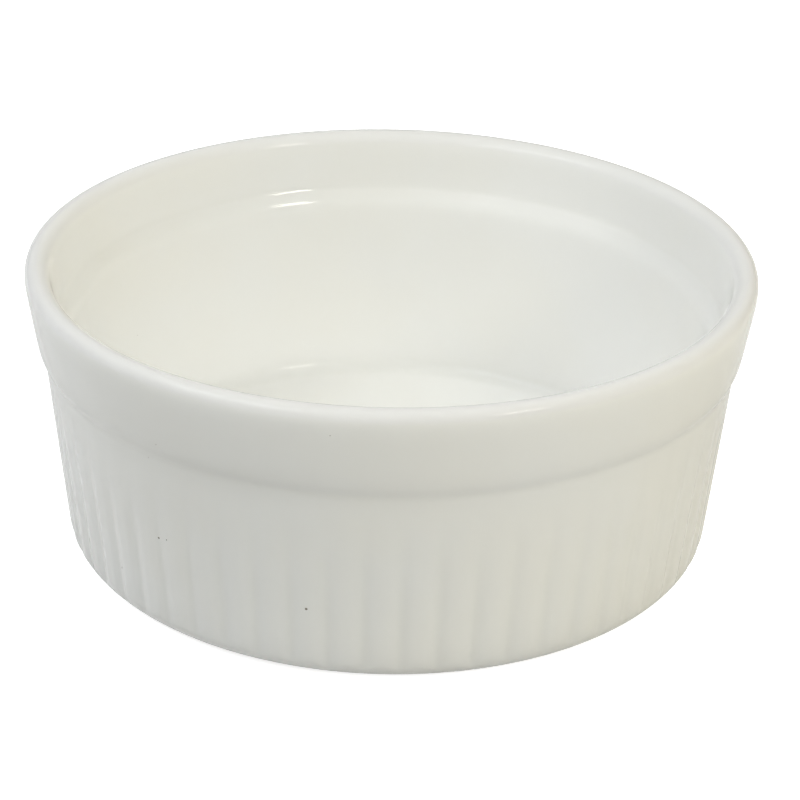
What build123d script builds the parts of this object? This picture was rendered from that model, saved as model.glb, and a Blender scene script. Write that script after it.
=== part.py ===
from build123d import *
import math
import os

# A round white porcelain ramekin: a thick collar at the rim, a fluted body under it,
# a stacking ledge inside, and a bare foot ring that it stands on.
# It is one fired piece of porcelain with two fused coats of glaze. Lengths are in millimetres.
# Origin: middle of the foot ring's standing face. +Z points up, and -Y is the front of the photograph.

# Whole pot
rim_diameter = 100.0
height = 41.0

# Collar, outside
collar_height = 12.4
collar_taper = 1.45
collar_step = 0.9
under_collar_round = 1.85

# Lip: two rounds that meet at its crest
lip_outer_round = 1.5
lip_inner_round = 2.0

# Body, outside
body_taper = 2.6
foot_round = 3.6
foot_round_degrees = 80.0

# Flutes: broad convex reeds with a narrow groove between each two.
# The grooves fade out towards the collar and at the foot.
reed_count = 60
first_groove_degrees = 2.7
groove_depth = 0.35
full_groove_drop = 11.0
faint_groove_drop = 3.0
faint_groove_share = 0.5

# Inside
ledge_depth = 8.0
ledge_drop = 2.3
ledge_fillet = 1.5
ledge_round = 4.0
collar_wall = 3.6
body_wall = 4.0
floor_height = 4.0
floor_fillet = 2.5

# Underside
foot_ring_width = 3.0
recess_depth = 1.0
recess_draft = 0.5

# Glaze
glaze_thickness = 0.3
glaze_pooling = 0.1
dry_foot_height = 0.4

# How far a cutting shape runs past what it cuts
overrun = 2.0

# Worked out from the sizes above
rim_radius = rim_diameter / 2
crease_height = height - collar_height
collar_foot_radius = rim_radius - collar_taper
body_top_radius = collar_foot_radius - collar_step
body_foot_radius = body_top_radius - body_taper
lip_crest_radius = rim_radius - lip_outer_round
standing_radius = body_foot_radius - foot_round
recess_radius = standing_radius - foot_ring_width
widest_height = height - lip_outer_round
ledge_top_height = height - ledge_depth
ledge_foot_height = ledge_top_height - ledge_drop
body_slope = body_taper / (crease_height - foot_round)
collar_slope = collar_taper / (widest_height - crease_height - under_collar_round)
full_turn = 360.0
quarter_turn = full_turn / 4
reed_pitch = full_turn / reed_count


def body_radius(z):
    """Radius of the reeds' crowns at a height, on the body's straight taper."""
    return body_foot_radius + (z - foot_round) * body_slope


def collar_radius(z):
    """Outer radius of the collar at a height, on its straight taper."""
    return rim_radius - (widest_height - z) * collar_slope


def touch_angle(center, radius, point, side):
    """Angle on a circle, in degrees, where a straight line from an outside point touches it on one side."""
    across = point[0] - center[0]
    up = point[1] - center[1]
    spread = math.acos(radius / math.hypot(across, up))
    return math.degrees(math.atan2(up, across) + side * spread)


def spin(outline, arc=full_turn):
    """The solid that a closed outline of radius and height makes round the pot's axis."""
    return revolve(Plane.XZ * outline, axis=Axis.Z, revolution_arc=arc)


def collar_slice(coat):
    """One reed's slice of the collar, solid to the axis, a coat's thickness inside the glazed surface."""
    lip_center = (lip_crest_radius, height - lip_outer_round)
    lip_radius = lip_outer_round - coat
    crease = (body_top_radius - coat, crease_height + coat)
    foot = (collar_foot_radius - coat, crease_height + under_collar_round)
    lip_start = touch_angle(lip_center, lip_radius, foot, 1)
    lip = CenterArc(lip_center, lip_radius, lip_start, quarter_turn - lip_start)
    wall = Line(lip @ 0, foot)
    under = TangentArc(foot, crease, tangent=wall % 1)
    closing = Polyline(lip @ 1, (0, height - coat), (0, crease_height + coat), crease)
    return spin(make_face([lip, wall, under, *closing.edges()]), reed_pitch)


def reed_section(z, coat, depth):
    """One reed's slice of the body's cross-section at a height: a convex crown between two grooves."""
    crown = body_radius(z) - coat
    start = Vector(crown - depth, 0)
    middle = Vector(crown, 0).rotate(Axis.Z, reed_pitch / 2)
    end = start.rotate(Axis.Z, reed_pitch)
    axis_point = Vector(0, 0)
    outline = [ThreePointArc(start, middle, end), Line(end, axis_point), Line(axis_point, start)]
    return Pos(0, 0, z) * make_face(outline)


def reed_slice(coat, depth):
    """One reed's slice of the body, solid to the axis, from the standing plane up into the collar."""
    collar_underside = crease_height + coat
    into_collar = crease_height + under_collar_round
    return loft(
        [
            reed_section(0, coat, depth),
            reed_section(crease_height - full_groove_drop, coat, depth),
            reed_section(crease_height - faint_groove_drop, coat, depth * faint_groove_share),
            reed_section(collar_underside, coat, 0),
            reed_section(into_collar, coat, 0),
        ],
        ruled=True,
    )


def foot_envelope(coat):
    """All that lies inside the rounded foot, and everything above it. The round ends just outside the reeds."""
    wide = rim_radius + overrun
    radius = foot_round - coat
    foot = CenterArc((standing_radius, radius), radius, -quarter_turn, foot_round_degrees)
    round_end = foot @ 1
    above = Polyline(
        round_end, (wide, round_end.Y), (wide, height), (0, height), (0, 0), (standing_radius, 0)
    )
    return spin(make_face([foot, *above.edges()]))


def cavity(coat):
    """The hollow of the pot: floor, wall, stacking ledge, collar wall and the lip's inner round."""
    ledge_top_radius = collar_radius(ledge_top_height) - collar_wall
    ledge_foot_radius = body_radius(ledge_foot_height) - body_wall
    floor_radius = body_radius(floor_height) - body_wall
    ledge_lean = math.atan2(ledge_top_radius - ledge_foot_radius, ledge_drop)
    sink = coat * math.tan(ledge_lean / 2)
    floor_middle = (0, floor_height - coat)
    floor_edge = (floor_radius + coat, floor_height - coat)
    ledge_foot = (ledge_foot_radius + coat, ledge_foot_height - sink)
    ledge_top = (ledge_top_radius + coat, ledge_top_height - sink)
    lip_center = (lip_crest_radius, height - lip_inner_round)
    lip_radius = lip_inner_round - coat
    lip_start = touch_angle(lip_center, lip_radius, ledge_top, -1)
    lip = CenterArc(lip_center, lip_radius, lip_start, quarter_turn - full_turn - lip_start)
    above = height + overrun
    wall = Polyline(floor_middle, floor_edge, ledge_foot, ledge_top, lip @ 0)
    mouth = Polyline(lip @ 1, (lip_crest_radius, above), (0, above), floor_middle)
    outline = make_face([*wall.edges(), lip, *mouth.edges()])
    rounds = [(floor_edge, floor_fillet - coat), (ledge_foot, ledge_round), (ledge_top, ledge_fillet)]
    for corner, radius in rounds:
        vertex = outline.vertices().sort_by_distance((*corner, 0))[0]
        outline = fillet(vertex, radius)
    return spin(outline)


def recess(coat):
    """The shallow hollow under the base, inside the foot ring."""
    mouth = recess_radius + coat
    ceiling = recess_depth + coat
    outline = Polyline(
        (0, -overrun), (mouth, -overrun), (mouth, 0), (mouth - recess_draft, ceiling), (0, ceiling), close=True
    )
    return spin(make_face(outline.edges()))


def pot_slice(coat, depth):
    """One reed's slice of the whole pot, a coat's thickness inside the glazed surface."""
    outside = (reed_slice(coat, depth) & foot_envelope(coat)) + collar_slice(coat)
    return outside - cavity(coat) - recess(coat)


def all_round(piece):
    """Repeats a reed's slice round the pot and closes it: its two upright cut faces go, and the rest join up."""
    skin = []
    for face in piece.faces():
        upright = abs(face.normal_at().Z) < 1 / 2
        if not (face.geom_type == GeomType.PLANE and upright):
            skin.append(face)
    turned = []
    for i in range(reed_count):
        angle = first_groove_degrees - quarter_turn + i * reed_pitch
        turned.extend(face.rotate(Axis.Z, angle) for face in skin)
    return Solid(Shell(turned)).clean()


def glaze_slice(body_slice):
    """One reed's slice of the glaze: what the glazed surface holds outside the porcelain, but for the dry foot."""
    dry_zone = Pos(0, 0, dry_foot_height) * Box(
        rim_diameter, rim_diameter, height, align=(Align.CENTER, Align.CENTER, Align.MAX)
    )
    return pot_slice(0, groove_depth) - dry_zone - body_slice


os.makedirs("parts", exist_ok=True)
body_slice = pot_slice(glaze_thickness, groove_depth + glaze_pooling)
coat_slices = glaze_slice(body_slice).solids().sort_by(Axis.Z)
export_step(all_round(body_slice), "parts/porcelain_body.step")
export_step(all_round(coat_slices[-1]), "parts/glaze_coat.step")
export_step(all_round(coat_slices[0]), "parts/underside_glaze.step")
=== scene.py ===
import math

import bpy
import numpy as np
from mathutils import Matrix, Vector


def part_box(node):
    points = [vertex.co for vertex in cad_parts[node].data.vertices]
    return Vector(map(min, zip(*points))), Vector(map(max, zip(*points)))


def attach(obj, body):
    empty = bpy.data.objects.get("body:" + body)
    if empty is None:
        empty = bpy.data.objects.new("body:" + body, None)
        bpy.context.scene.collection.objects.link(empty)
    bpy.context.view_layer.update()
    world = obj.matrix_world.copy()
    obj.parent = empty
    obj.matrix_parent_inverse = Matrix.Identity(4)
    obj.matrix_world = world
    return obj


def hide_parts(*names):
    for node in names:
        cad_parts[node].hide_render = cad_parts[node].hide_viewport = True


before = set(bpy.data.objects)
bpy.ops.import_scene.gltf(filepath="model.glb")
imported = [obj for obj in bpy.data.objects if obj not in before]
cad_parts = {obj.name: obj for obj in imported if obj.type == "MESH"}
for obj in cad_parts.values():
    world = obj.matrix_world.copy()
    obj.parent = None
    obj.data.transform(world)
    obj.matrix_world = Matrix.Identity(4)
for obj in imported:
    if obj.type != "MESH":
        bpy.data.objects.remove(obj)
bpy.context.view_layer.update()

# A round white porcelain ramekin on a pale floor. Lengths are in metres, and angles in degrees.
# The pot's width, height and glaze line come from the frame. The other sizes are those of its construction.
coat_low, coat_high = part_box("glaze_coat")
rim_radius = (coat_high.x - coat_low.x) / 2
height = coat_high.z
dry_foot_height = coat_low.z

collar_height = 0.0124
collar_taper = 0.00145
collar_step = 0.0009
under_collar_round = 0.00185
lip_outer_round = 0.0015
lip_inner_round = 0.002
body_taper = 0.0026
foot_round = 0.0036
ledge_depth = 0.008
ledge_drop = 0.0023
ledge_fillet = 0.0015
ledge_round = 0.004
collar_wall = 0.0036
body_wall = 0.004
floor_height = 0.004
floor_fillet = 0.0025
foot_ring_width = 0.003
recess_depth = 0.001
recess_draft = 0.0005
recess_fillet = 0.0006
ring_edge_round = 0.0003
glaze_thickness = 0.0003
glaze_pooling = 0.0001

# Flutes: broad convex reeds with a narrow groove between each two, softened by the glaze
reed_count = 60
first_groove_degrees = 2.7
groove_depth = 0.00035
groove_fade_drop = 0.011
groove_edge_ease = 0.00005
groove_sharpness = 4
reed_columns = 10

# How far the fired pot strays from a true circle and a level rim, in waves round the pot
rim_sway = 0.00012
rim_waves = 2
wall_sway = 0.00003
wall_waves = 5
wall_wave_twist = 3.0

# How finely the surfaces are drawn
arc_step = 0.00005
glaze_softness = 0.00035
porcelain_softness = 0.0002
crease_softness = 0.0005
crease_reach = 0.003
shoulder_softness = 0.0008
shoulder_drop = 0.0026
shoulder_reach = 0.0016
visible_row = 0.0025
visible_turn = 8.0
hidden_row = 0.008
hidden_turn = 18.0
soft_reach = 3.0

# Where the glaze lies thick or thin, and where shade is painted into its colour in hollows and on edges: the
# bend that counts as sharp, in radians a metre, and the grooves' part
full_bend = 1000.0
groove_pool_and_shade_share = 0.5

# Worked out from the sizes above
crease_height = height - collar_height
collar_foot_radius = rim_radius - collar_taper
body_top_radius = collar_foot_radius - collar_step
body_foot_radius = body_top_radius - body_taper
lip_crest_radius = rim_radius - lip_outer_round
standing_radius = body_foot_radius - foot_round
recess_radius = standing_radius - foot_ring_width
widest_height = height - lip_outer_round
ledge_top_height = height - ledge_depth
ledge_foot_height = ledge_top_height - ledge_drop
body_slope = body_taper / (crease_height - foot_round)
collar_slope = collar_taper / (widest_height - crease_height - under_collar_round)
reed_pitch = 2 * math.pi / reed_count


def body_radius(z):
    """Radius of the reeds' crowns at a height, on the body's straight taper."""
    return body_foot_radius + (z - foot_round) * body_slope


def collar_radius(z):
    """Outer radius of the collar at a height, on its straight taper."""
    return rim_radius - (widest_height - z) * collar_slope


def direction(azimuth, elevation):
    """The way out from the pot's middle. Azimuth is from the front towards +X."""
    side, up = math.radians(azimuth), math.radians(elevation)
    return Vector((math.sin(side) * math.cos(up), -math.cos(side) * math.cos(up), math.sin(up)))


def turn(center, start, end):
    """Points on a circle from one point to another, the short way round."""
    center, start, end = (np.array(p) for p in (center, start, end))
    radius = np.linalg.norm(start - center)
    first = math.atan2(*(start - center)[::-1])
    last = math.atan2(*(end - center)[::-1])
    sweep = (last - first + math.pi) % (2 * math.pi) - math.pi
    count = max(2, round(abs(sweep) * radius / arc_step))
    angles = first + sweep * np.linspace(0, 1, count + 1)
    return center + radius * np.column_stack([np.cos(angles), np.sin(angles)])


def rounded(before, corner, after, radius):
    """Points of the round that joins two straight runs where they would meet."""
    before, corner, after = (np.array(p) for p in (before, corner, after))
    back = (before - corner) / np.linalg.norm(before - corner)
    on = (after - corner) / np.linalg.norm(after - corner)
    half = math.acos(back @ on) / 2
    middle = (back + on) / np.linalg.norm(back + on)
    center = corner + middle * radius / math.sin(half)
    reach = radius / math.tan(half)
    return turn(center, corner + back * reach, corner + on * reach)


def touch_point(center, radius, point, side):
    """Where a straight line from an outside point touches a circle, on one side."""
    across, up = point[0] - center[0], point[1] - center[1]
    angle = math.atan2(up, across) + side * math.acos(radius / math.hypot(across, up))
    return (center[0] + radius * math.cos(angle), center[1] + radius * math.sin(angle))


def tangent_turn(start, before, end):
    """Points of the round that leaves a straight run at its end and goes to another point."""
    start, before, end = (np.array(p) for p in (start, before, end))
    along = (start - before) / np.linalg.norm(start - before)
    across = np.array([-along[1], along[0]])
    chord = end - start
    center = start + across * (chord @ chord) / (2 * chord @ across)
    return turn(center, start, end)


def foot_path(coat):
    """The rounded foot, from the standing face up to the reeds."""
    radius = foot_round - coat
    lean = math.atan(body_slope)
    top = (standing_radius + radius * math.cos(lean), radius - radius * math.sin(lean))
    return turn((standing_radius, radius), (standing_radius, 0), top)


def outer_path(coat):
    """The outside above the foot's round, from the crease under the collar to the lip's crest."""
    crease = (body_top_radius - coat, crease_height + coat)
    wall_foot = (collar_foot_radius - coat, crease_height + under_collar_round)
    lip_center = (lip_crest_radius, height - lip_outer_round)
    lip_start = touch_point(lip_center, lip_outer_round - coat, wall_foot, 1)
    under = tangent_turn(wall_foot, lip_start, crease)[::-1]
    lip = turn(lip_center, lip_start, (lip_crest_radius, height - coat))
    return np.vstack([under, lip])


def inner_path(coat):
    """The inside, from the lip's crest over the stacking ledge and down to the middle of the floor."""
    ledge_top_radius = collar_radius(ledge_top_height) - collar_wall
    ledge_foot_radius = body_radius(ledge_foot_height) - body_wall
    floor_radius = body_radius(floor_height) - body_wall
    sink = coat * math.tan(math.atan2(ledge_top_radius - ledge_foot_radius, ledge_drop) / 2)
    floor_middle = (0, floor_height - coat)
    floor_edge = (floor_radius + coat, floor_height - coat)
    ledge_foot = (ledge_foot_radius + coat, ledge_foot_height - sink)
    ledge_top = (ledge_top_radius + coat, ledge_top_height - sink)
    lip_center = (lip_crest_radius, height - lip_inner_round)
    lip_end = touch_point(lip_center, lip_inner_round - coat, ledge_top, -1)
    return np.vstack(
        [
            turn(lip_center, (lip_crest_radius, height - coat), lip_end),
            rounded(lip_end, ledge_top, ledge_foot, ledge_fillet - coat),
            rounded(ledge_top, ledge_foot, floor_edge, ledge_round + coat),
            rounded(ledge_foot, floor_edge, floor_middle, floor_fillet - coat),
            [floor_middle],
        ]
    )


def recess_path(coat):
    """The hollow under the base, from its middle to the foot ring's inner edge."""
    mouth = recess_radius + coat
    middle = (0, recess_depth + coat)
    corner = (mouth - recess_draft, recess_depth + coat)
    edge = (mouth, 0)
    return np.vstack([[middle], rounded(middle, corner, edge, recess_fillet), [edge]])


def evenly(path, step):
    """A path's points at an even spacing along it, and that spacing."""
    lengths = np.hypot(*np.diff(path, axis=0)[:, :2].T)
    path = path[np.append(True, lengths > 0)]
    along = np.append(0, np.cumsum(lengths[lengths > 0]))
    count = max(4, round(along[-1] / step))
    places = np.linspace(0, along[-1], count + 1)
    even = np.column_stack([np.interp(places, along, channel) for channel in path.T])
    return even, along[-1] / count


def softened(path, softness):
    """The path with its corners eased over a small length, its ends in place."""
    even, step = evenly(path, arc_step)
    reach = math.ceil(soft_reach * softness / step)
    weights = np.exp(-0.5 * (np.arange(-reach, reach + 1) * step / softness) ** 2)
    before = 2 * even[0] - even[reach:0:-1]
    after = 2 * even[-1] - even[-2 : -reach - 2 : -1]
    longer = np.vstack([before, even, after])
    return np.column_stack(
        [np.convolve(channel, weights / weights.sum(), "valid") for channel in longer.T]
    )


def eased(path, softness):
    """The softened path, eased more where the glaze fills the crease and rolls over the collar's shoulder."""
    fine = softened(path, softness)
    before_crest = np.arange(len(fine)) < fine[:, 1].argmax()
    places = (
        (crease_height + under_collar_round / 2, crease_reach, crease_softness),
        (height - shoulder_drop, shoulder_reach, shoulder_softness),
    )
    for middle, reach, more in places:
        share = before_crest * np.exp(-(((fine[:, 1] - middle) / reach) ** 2))
        fine = fine + share[:, None] * (softened(path, more) - fine)
    return fine


def bend(path):
    """How sharply a path turns at each of its points, in radians a metre, more than zero in a hollow."""
    even_step = np.hypot(*(path[1] - path[0])[:2])
    heading = np.unwrap(np.arctan2(*np.gradient(path[:, :2], axis=0).T[::-1]))
    return -np.gradient(heading) / even_step


def in_rows(path, longest, widest_turn):
    """The path at a few rows: close together where it bends, and apart where it is straight."""
    step = np.hypot(*np.diff(path, axis=0)[:, :2].T)
    sharp = np.abs(bend(path))
    dense = 1 / longest + sharp / math.radians(widest_turn)
    along = np.append(0, np.cumsum((dense[1:] + dense[:-1]) / 2 * step))
    places = np.linspace(0, along[-1], math.ceil(along[-1]) + 1)
    return np.column_stack([np.interp(places, along, channel) for channel in path.T])


def above(path, z):
    """The part of a rising path above a height, cut at exactly that height."""
    cut = [np.interp(z, path[:, 1], path[:, 0]), z]
    return np.vstack([cut, path[path[:, 1] > z]])


def below(path, z):
    """The part of a rising path below a height, cut at exactly that height."""
    cut = [np.interp(z, path[:, 1], path[:, 0]), z]
    return np.vstack([path[path[:, 1] < z], cut])


def fluted(path, depth):
    """The path with the groove's depth at each point: full on the body, and faint under the collar."""
    drop = np.clip(crease_height - path[:, 1], 0, None)
    return np.column_stack([path, depth * (1 - np.exp(-((drop / groove_fade_drop) ** 2)))])


def plain(path):
    """The path with no grooves."""
    return np.column_stack([path, np.zeros(len(path))])


def outside(coat):
    """The glazed surface in two parts: from the dry foot to the crease, and on to the middle of the floor."""
    foot = above(foot_path(coat), dry_foot_height)
    collar = outer_path(coat)
    return np.vstack([foot, collar[:1]]), np.vstack([collar[1:], inner_path(coat)])


def glazed_rows(coat, depth, softness, longest, widest_turn):
    """Rows of the outside and inside, with radius, height, groove depth and bend."""
    body, rest = outside(coat)
    body, _ = evenly(body, arc_step)
    path = eased(np.vstack([fluted(body, depth), plain(rest)]), softness)
    path = np.column_stack([path, bend(path)])
    return in_rows(path, longest, widest_turn)


def underside_rows(coat, softness, longest, widest_turn):
    """Rows of the hollow under the base, from its middle to the edge of its glaze."""
    path = recess_path(coat)[::-1]
    path = plain(above(path, dry_foot_height)[::-1])
    path = softened(path, softness)
    path = np.column_stack([path, bend(path)])
    return in_rows(path, longest, widest_turn)


def ring_rows():
    """Rows of the bare foot ring, from the glaze inside it to the glaze outside it."""
    mouth = recess_radius + glaze_thickness
    inner = below(recess_path(glaze_thickness)[::-1], dry_foot_height)[::-1]
    edge = rounded(inner[0], (mouth, 0), (standing_radius, 0), ring_edge_round)
    outer = below(foot_path(glaze_thickness), dry_foot_height)
    path = plain(np.vstack([inner[:1], edge, outer]))
    path = softened(path, porcelain_softness / 2)
    path = np.column_stack([path, bend(path)])
    return in_rows(path, visible_row / 2, visible_turn)


def groove_shape(share):
    """How deep the groove is at a share of the way from one groove to the next, from 1 to 0."""
    return np.cos(math.pi * share) ** groove_sharpness


def ring_points(row, angles, shares):
    """The points of one row all round the pot. The grooves end where the foot's round lies deeper."""
    radius, z, depth = row[:3]
    past_foot = max(0.0, body_radius(z) - radius) if depth > 0 else 0.0
    cut = depth * groove_shape(shares) - past_foot
    cut = (cut + np.hypot(cut, groove_edge_ease)) / 2 if depth > 0 else 0 * shares
    rise = z / height
    sway = rim_sway * rise * (np.cos(rim_waves * angles + 1) - 1) / 2
    sway = sway + wall_sway * (np.cos(wall_waves * angles + wall_wave_twist * rise) - 1) / 2
    r = radius - cut + sway * min(1.0, radius / standing_radius)
    level = rim_sway * rise * (np.cos(rim_waves * angles - 1) - 1) / 4
    return np.column_stack([r * np.sin(angles), -r * np.cos(angles), z + level + 0 * r])


def turned_mesh(name, rows, sharp_rows=()):
    """A mesh turned round the pot's axis from rows. A row at the axis is one point."""
    columns = reed_count * reed_columns
    shares = np.arange(columns) / reed_columns
    angles = math.radians(first_groove_degrees) + shares * reed_pitch
    points, starts, pooled_and_shaded = [], [], []
    for row in rows:
        starts.append(len(points))
        ring = ring_points(row, angles, shares)
        # How hollow each point is, from its bend and the grooves: the mask for the pooled glaze colour and
        # for the painted shade in hollows and on convex edges
        hollow = math.tanh(row[3] / full_bend) * np.ones(columns)
        hollow = hollow + groove_shape(shares) * row[2] / groove_depth * groove_pool_and_shade_share
        if row[0] < arc_step:
            ring, hollow = ring[:1] * (0, 0, 1), hollow[:1]
        points.extend(ring)
        pooled_and_shaded.extend(hollow)
    faces = []
    for a, b in zip(range(len(rows)), range(1, len(rows))):
        one_a, one_b = rows[a][0] < arc_step, rows[b][0] < arc_step
        if one_a and one_b:
            continue
        for j in range(columns):
            k = (j + 1) % columns
            if one_a:
                faces.append((starts[a], starts[b] + k, starts[b] + j))
            elif one_b:
                faces.append((starts[a] + j, starts[a] + k, starts[b]))
            else:
                faces.append((starts[a] + j, starts[a] + k, starts[b] + k, starts[b] + j))
    mesh = bpy.data.meshes.new(name)
    mesh.from_pydata(points, [], faces)
    mesh.shade_smooth()
    # Kept on the mesh for the material's pooled colour and painted shade
    pooling_and_shade = mesh.attributes.new("pooling_and_shade", "FLOAT", "POINT")
    pooling_and_shade.data.foreach_set("value", np.array(pooled_and_shaded, np.float32))
    mark_sharp(mesh, [range(starts[i], starts[i] + columns) for i in sharp_rows])
    piece = bpy.data.objects.new(name, mesh)
    bpy.context.scene.collection.objects.link(piece)
    return piece


def mark_sharp(mesh, rings):
    """Keeps the shading crisp along whole rows, where one surface ends at another."""
    edges = np.zeros(2 * len(mesh.edges), np.int32)
    mesh.edges.foreach_get("vertices", edges)
    low, high = edges.reshape(-1, 2).min(1), edges.reshape(-1, 2).max(1)
    sharp = np.zeros(len(low), bool)
    for ring in rings:
        sharp |= (low >= ring.start) & (high < ring.stop)
    mesh.attributes.new("sharp_edge", "BOOLEAN", "EDGE").data.foreach_set("value", sharp)


def glaze_skin():
    """The glaze on the outside and inside, down to its edge on the porcelain just above the standing face."""
    shown = glazed_rows(0, groove_depth, glaze_softness, visible_row, visible_turn)
    edge = porcelain_under_glaze()[:1]
    return turned_mesh("glaze_skin", np.vstack([edge, shown]), (1,))


def porcelain_under_glaze():
    """Rows of the porcelain where the glaze covers it."""
    deep = groove_depth + glaze_pooling
    return glazed_rows(glaze_thickness, deep, porcelain_softness, hidden_row, hidden_turn)


def porcelain():
    """The fired porcelain, seen only on the bare foot ring."""
    under = underside_rows(glaze_thickness, porcelain_softness, hidden_row, hidden_turn)
    ring = ring_rows()
    over = porcelain_under_glaze()
    return turned_mesh("porcelain", np.vstack([under, ring[1:-1], over]))


def underside_skin():
    """The glaze in the hollow under the base."""
    shown = underside_rows(0, glaze_softness, visible_row, visible_turn)
    edge = underside_rows(glaze_thickness, porcelain_softness, hidden_row, hidden_turn)[-1:]
    return turned_mesh("underside_skin", np.vstack([shown, edge]), (len(shown) - 1,))


# Glaze: its faint clouds, its pooled colour with painted shade in hollows, painted shade on its edges, its
# fine ripple, and how far light spreads in the porcelain under it
mottle_size = 0.022
mottle_bounds = (0.35, 0.65)
pool_and_shade_bounds = (0.1, 0.9)
edge_shade_bounds = (-0.2, -0.7)
ripple_size = 0.005
ripple_height = 0.000012
ripple_bounds = (0.3, 0.7)
glaze_roughness = (0.07, 0.11)
glaze_ior = 1.5
glaze_gloss = 0.35
porcelain_glow_reach = 0.003
glaze_white = (0.905, 0.906, 0.903, 1)
glaze_cream = (0.906, 0.902, 0.888, 1)
# Darker glaze where it pools in hollows. In the crease, the grooves and the inside corners this is partly
# painted shade
glaze_pool_and_painted_shade = (0.885, 0.885, 0.870, 1)
# Darker, cooler colour on the lip and other convex edges: painted shade that dims the lip
glaze_edge_painted_shade = (0.872, 0.864, 0.879, 1)

# Iron specks in the glaze: a sparse scatter, and those that show on the front, each with
# its degrees from the front towards +X, its height and its radius
scatter_spacing = 0.008
scatter_radius = 0.00008
scatter_strength = 0.4
speck_strength = 0.9
speck_sink = 0.0015
speck_edge_shares = (0.6, 1.2)
speck_brown = (0.16, 0.13, 0.10, 1)
front_specks = (
    (-12.5, 0.0108, 0.00019),
    (-39.4, 0.0155, 0.00016),
    (-37.4, 0.0159, 0.00010),
    (-50.5, 0.0071, 0.00014),
    (-36.6, 0.0307, 0.00006),
    (-8.1, 0.0376, 0.00006),
)

# Bare porcelain
cloud_size = 0.0055
cloud_bounds = (0.4, 0.75)
grain_size = 0.0003
grain_height = 0.00002
grain_bounds = (0.3, 0.7)
biscuit_roughness = (0.72, 0.9)
biscuit_light = (0.74, 0.70, 0.62, 1)
biscuit_dark = (0.62, 0.57, 0.49, 1)

# Floor and surroundings, white to the camera and dimmer in the gloss
floor_reach = 4.0
floor_sides = 96
floor_colour = (0.6, 0.6, 0.6, 1)
white = (1.0, 1.0, 1.0, 1)
glow_distances = (0.12, 0.5)
glow_strengths = (0.84, 1.0)
gloss_share = 0.45
fill_strength = 0.03
lamp_distance = 1.0


class Graph:
    """The shader nodes of a material or of the surroundings, added one at a time."""

    def __init__(self, owner, shader):
        owner.use_nodes = True
        self.tree = owner.node_tree
        self.shader = self.tree.nodes[shader]

    def feed(self, value, socket):
        """Links another node's output to a socket, or sets the socket's own value."""
        if isinstance(value, bpy.types.NodeSocket):
            self.tree.links.new(value, socket)
        else:
            socket.default_value = value

    def wear(self, sockets):
        """Feeds the sockets of the shader itself."""
        for key, value in sockets.items():
            self.feed(value, self.shader.inputs[key])

    def add(self, kind, sockets=None, **settings):
        """A node with its settings and the values of its sockets."""
        made = self.tree.nodes.new(kind)
        for key, value in settings.items():
            setattr(made, key, value)
        for key, value in (sockets or {}).items():
            self.feed(value, made.inputs[key])
        return made

    def math(self, operation, *values):
        return self.add("ShaderNodeMath", dict(enumerate(values)), operation=operation).outputs[0]

    def length(self, vector):
        return self.add("ShaderNodeVectorMath", {0: vector}, operation="LENGTH").outputs["Value"]

    def ramp(self, value, bounds, ends=(0.0, 1.0), kind="SMOOTHSTEP"):
        """Goes from one end to the other while a value goes from one bound to the other."""
        sockets = {"Value": value, "From Min": bounds[0], "From Max": bounds[1]}
        sockets |= {"To Min": ends[0], "To Max": ends[1]}
        return self.add("ShaderNodeMapRange", sockets, interpolation_type=kind).outputs["Result"]

    def seen(self):
        """1 for rays that show the surroundings in the picture, and less for those of the gloss."""
        path = self.add("ShaderNodeLightPath")
        in_gloss = self.math("MULTIPLY", path.outputs["Is Glossy Ray"], gloss_share)
        return self.math("MAXIMUM", path.outputs["Is Camera Ray"], in_gloss)


class Finish(Graph):
    """A material's nodes, placed by the piece's own coordinates."""

    def __init__(self, name):
        self.material = bpy.data.materials.new(name)
        super().__init__(self.material, "Principled BSDF")
        self.place = self.add("ShaderNodeTexCoord").outputs["Object"]

    def noise(self, size, detail=2.0):
        """Smooth noise from 0 to 1 with features of a given size."""
        sockets = {"Vector": self.place, "Scale": 1 / size, "Detail": detail}
        return self.add("ShaderNodeTexNoise", sockets).outputs["Fac"]

    def mix(self, share, first, second):
        made = self.add("ShaderNodeMix", data_type="RGBA")
        for value, socket in zip((share, first, second), (s for s in made.inputs if s.enabled)):
            self.feed(value, socket)
        return next(s for s in made.outputs if s.enabled)

    def bump(self, value, distance):
        sockets = {"Height": value, "Distance": distance, "Strength": 1.0}
        return self.add("ShaderNodeBump", sockets).outputs["Normal"]

    def spot(self, distance, radius):
        """1 inside a radius and 0 outside it, with a soft edge."""
        return self.ramp(distance, [radius * share for share in speck_edge_shares], (1.0, 0.0))

    def speck(self, azimuth, z, radius):
        """1 inside a speck on the outside wall, and 0 elsewhere."""
        wall = collar_radius(z) if z > crease_height else body_radius(z)
        sockets = {
            "Vector": self.place,
            "Location": (*(direction(azimuth, 0) * wall).xy, z),
            "Rotation": (0, 0, math.radians(azimuth)),
            "Scale": (radius, speck_sink, radius),
        }
        local = self.add("ShaderNodeMapping", sockets, vector_type="TEXTURE").outputs["Vector"]
        return self.spot(self.length(local), 1.0)

    def scatter(self):
        """Strength of the sparse specks, from 0 to 1."""
        sockets = {"Vector": self.place, "Scale": 1 / scatter_spacing}
        distance = self.add("ShaderNodeTexVoronoi", sockets).outputs["Distance"]
        return self.math("MULTIPLY", self.spot(distance, scatter_radius / scatter_spacing), scatter_strength)


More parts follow.
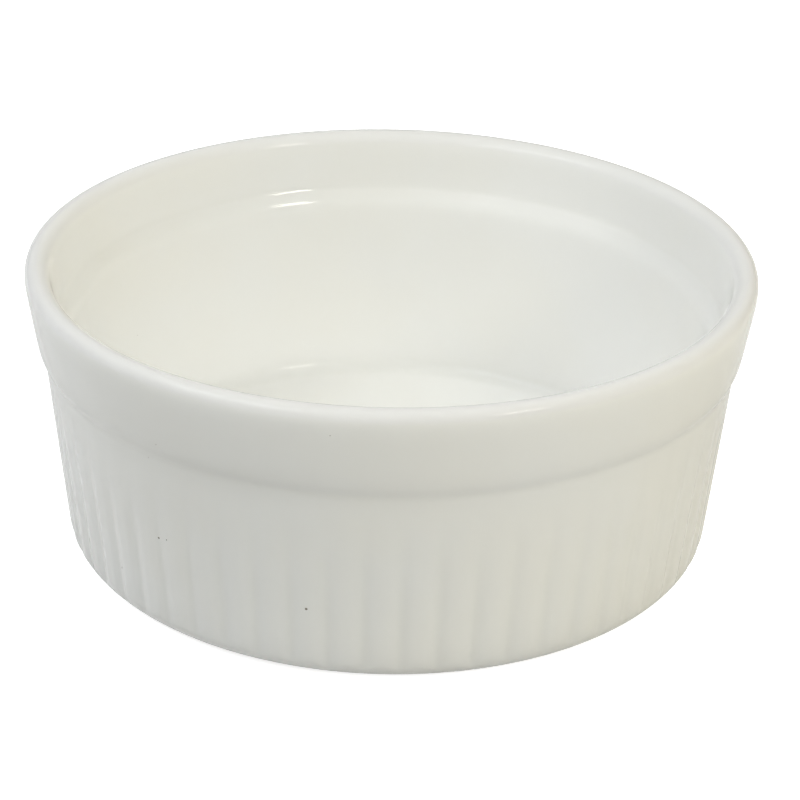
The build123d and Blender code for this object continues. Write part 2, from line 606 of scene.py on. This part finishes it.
def glaze_material():
    """Clear gloss over white porcelain: faint cream clouds, darker where it pools with painted shade in the
    hollows, painted shade on the lip and convex edges, and a few iron specks.
    """
    g = Finish("white_glaze")
    pooling_and_shade = g.add("ShaderNodeAttribute", None, attribute_name="pooling_and_shade").outputs["Fac"]
    colour = g.mix(g.ramp(g.noise(mottle_size), mottle_bounds), glaze_white, glaze_cream)
    # Darker where the glaze pools, partly painted shade in the crease, the grooves and the inside corners
    colour = g.mix(g.ramp(pooling_and_shade, pool_and_shade_bounds), colour, glaze_pool_and_painted_shade)
    # Painted shade: the lip and other convex edges darkened and cooled
    colour = g.mix(g.ramp(pooling_and_shade, edge_shade_bounds), colour, glaze_edge_painted_shade)
    specks = g.scatter()
    for place in front_specks:
        specks = g.math("MAXIMUM", specks, g.math("MULTIPLY", g.speck(*place), speck_strength))
    g.wear(
        {
            "Base Color": g.mix(specks, colour, speck_brown),
            "Roughness": g.ramp(g.noise(ripple_size), ripple_bounds, glaze_roughness),
            "Normal": g.bump(g.noise(ripple_size, 1.0), ripple_height),
            "IOR": glaze_ior,
            "Specular IOR Level": glaze_gloss,
            "Subsurface Weight": 1.0,
            "Subsurface Radius": (1.0, 1.0, 1.0),
            "Subsurface Scale": porcelain_glow_reach,
        }
    )
    return g.material


def biscuit_material():
    """Bare fired porcelain: matte, faintly warm, with a fine dry grain."""
    g = Finish("bare_porcelain")
    grain = g.noise(grain_size, 4.0)
    clouds = g.noise(cloud_size, 3.0)
    g.wear(
        {
            "Base Color": g.mix(g.ramp(clouds, cloud_bounds), biscuit_light, biscuit_dark),
            "Roughness": g.ramp(grain, grain_bounds, biscuit_roughness),
            "Normal": g.bump(grain, grain_height),
        }
    )
    return g.material


def dress(piece, material, node):
    """Gives a piece its finish and lets it stand for its CAD node."""
    piece.data.materials.append(material)
    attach(piece, "root")
    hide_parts(node)


def floor():
    """A wide pale floor that keeps the pot's shadow."""
    turns = [2 * math.pi * i / floor_sides for i in range(floor_sides)]
    corners = [(floor_reach * math.sin(a), floor_reach * math.cos(a), 0) for a in turns]
    mesh = bpy.data.meshes.new("floor")
    mesh.from_pydata(corners, [], [list(range(floor_sides))[::-1]])
    piece = bpy.data.objects.new("floor", mesh)
    bpy.context.scene.collection.objects.link(piece)
    g = Finish("pale_floor")
    glow = g.ramp(g.length(g.place), glow_distances, glow_strengths, "LINEAR")
    g.wear(
        {
            "Base Color": floor_colour,
            "Roughness": 1.0,
            "Specular IOR Level": 0.0,
            "Emission Color": white,
            "Emission Strength": g.math("MULTIPLY", g.seen(), glow),
        }
    )
    mesh.materials.append(g.material)


def surroundings():
    """Even soft light from all round, and plain white where it is seen."""
    world = bpy.data.worlds.new("surroundings")
    g = Graph(world, "Background")
    strength = g.ramp(g.seen(), (0.0, 1.0), (fill_strength, 1.0), "LINEAR")
    g.wear({"Color": white, "Strength": strength})
    bpy.context.scene.world = world


def softbox(name, azimuth, elevation, size, power, colour, in_gloss=False):
    """A wide soft lamp that faces the pot. The gloss mirrors it, or only its light is used."""
    lamp_data = bpy.data.lights.new(name, "AREA")
    lamp_data.shape = "RECTANGLE"
    lamp_data.size, lamp_data.size_y = size
    lamp_data.energy = power
    lamp_data.color = colour
    lamp = bpy.data.objects.new(name, lamp_data)
    away = direction(azimuth, elevation)
    lamp.location = away * lamp_distance
    lamp.rotation_euler = away.to_track_quat("Z", "Y").to_euler()
    lamp.visible_camera = False
    lamp.visible_glossy = in_gloss
    bpy.context.scene.collection.objects.link(lamp)


# Camera: a long lens, looking down at the pot from the front
picture_size = 800
lens_pixels = 2600
sensor_width = 36.0
camera_distance = 0.3637
camera_elevation = 25.74
camera_roll = 1.18
aim_height = height / 2
picture_middle = (389.4, 387.3)


def camera():
    """The camera of the picture, shifted a little as the picture is."""
    data = bpy.data.cameras.new("camera")
    data.sensor_width = sensor_width
    data.lens = lens_pixels * sensor_width / picture_size
    half = picture_size / 2
    data.shift_x = (half - picture_middle[0]) / picture_size
    data.shift_y = (picture_middle[1] - half) / picture_size
    piece = bpy.data.objects.new("camera", data)
    bpy.context.scene.collection.objects.link(piece)
    away = direction(0, camera_elevation)
    roll = Matrix.Rotation(math.radians(camera_roll), 4, "Z")
    place = Matrix.Translation(away * camera_distance + Vector((0, 0, aim_height)))
    piece.matrix_world = place @ away.to_track_quat("Z", "Y").to_matrix().to_4x4() @ roll
    bpy.context.scene.camera = piece


glaze = glaze_material()
dress(glaze_skin(), glaze, "glaze_coat")
dress(porcelain(), biscuit_material(), "porcelain_body")
dress(underside_skin(), glaze, "underside_glaze")

floor()
surroundings()
softbox("left_window", -60, 50, (0.65, 0.32), 1.5, (0.9, 0.97, 1.0), in_gloss=True)
softbox("right_window", 40.5, 32, (0.24, 0.13), 1.2, (1.0, 0.95, 0.86), in_gloss=True)
softbox("left_softbox", -92, 44, (0.67, 0.67), 4.3, (0.985, 1.0, 0.995))
softbox("right_softbox", 37, 47, (0.64, 0.64), 4.73, (1.0, 1.0, 0.885))
softbox("side_card", 102, 13, (1.0, 0.45), 1.08, (1.0, 0.78, 0.2))
softbox("back_softbox", 178, 30, (0.7, 0.7), 1.5, (1.0, 1.0, 1.0))
camera()
bpy.context.scene.view_settings.view_transform = "Standard"
